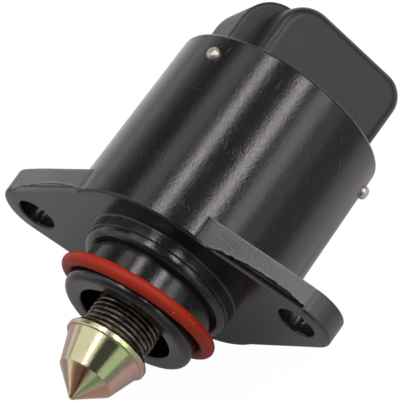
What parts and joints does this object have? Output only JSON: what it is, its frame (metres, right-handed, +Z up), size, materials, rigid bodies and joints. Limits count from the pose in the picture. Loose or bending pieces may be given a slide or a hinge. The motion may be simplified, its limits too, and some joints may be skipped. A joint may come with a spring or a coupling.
{
  "type": "idle air control valve",
  "caption": "Flanged idle air control valve: a stepper motor in a round can screws a sprung conical pintle out of a sealed snout; keyed plug socket at the rear.",
  "frame": {"origin": "on the valve's axis, in the plane of the mounting face, midway between the two screw holes", "axes": "+X along the line of the screw holes, +Y along the valve's axis from the mounting face towards the plug socket, so that the pintle points along -Y, and +Z up, across the ears"},
  "size_m": [0.0548, 0.0623, 0.0322],
  "materials": {
    "housing_coat": "semi-gloss black coating over a zinc casting",
    "red_seal": "satin red rubber",
    "yellow_zinc": "bright yellow zinc plating on turned steel",
    "bright_steel": "bright ground steel",
    "spring_steel": "oiled spring steel",
    "bronze": "sintered bronze",
    "black_plastic": "matte glass-filled plastic",
    "natural_plastic": "natural moulded plastic",
    "brass": "bright brass",
    "ferrite": "sintered ferrite",
    "pole_steel": "zinc-plated soft iron sheet",
    "copper": "enamelled copper wire",
    "tin": "tinned brass",
    "black_seal": "satin black rubber"
  },
  "bodies": {
    "valve_body": {"housing": "housing_coat", "snout_seal": "red_seal", "return_spring": "spring_steel", "guide_bush": "bronze", "bearing_carrier": "black_plastic", "bearing_outer_race": "bright_steel", "bearing_balls": "bright_steel", "bearing_cage": "brass", "stator_cup_front": "pole_steel", "pole_plate_front": "pole_steel", "pole_plate_rear": "pole_steel", "stator_cup_rear": "pole_steel", "bobbin_front": "natural_plastic", "winding_front": "copper", "bobbin_rear": "natural_plastic", "winding_rear": "copper", "rear_bush": "bronze", "thrust_washer": "bright_steel", "terminal_1": "tin", "terminal_2": "tin", "terminal_3": "tin", "terminal_4": "tin", "connector_cap": "black_plastic", "cap_seal": "black_seal", "retaining_pins": "bright_steel"},
    "rotor": {"rotor_hub": "natural_plastic", "rotor_magnet": "ferrite", "bearing_inner_race": "bright_steel"},
    "pintle_and_screw": {"pintle": "yellow_zinc", "lead_screw": "bright_steel"}
  },
  "joints": [
    {"name": "rotor_spin", "type": "hinge", "parent": "valve_body", "child": "rotor", "pos_m": [0, 0.014, 0], "axis": [0, -1, 0], "range_deg": [0, 1980]},
    {"name": "pintle_slide", "type": "slide", "parent": "valve_body", "child": "pintle_and_screw", "axis": [0, 1, 0], "range_m": [0, 0.0055], "deforming": ["return_spring"]}
  ],
  "couplings": [
    {"joint": "pintle_slide", "follows": "rotor_spin", "m_per_rad": 0.00015915}
  ]
}
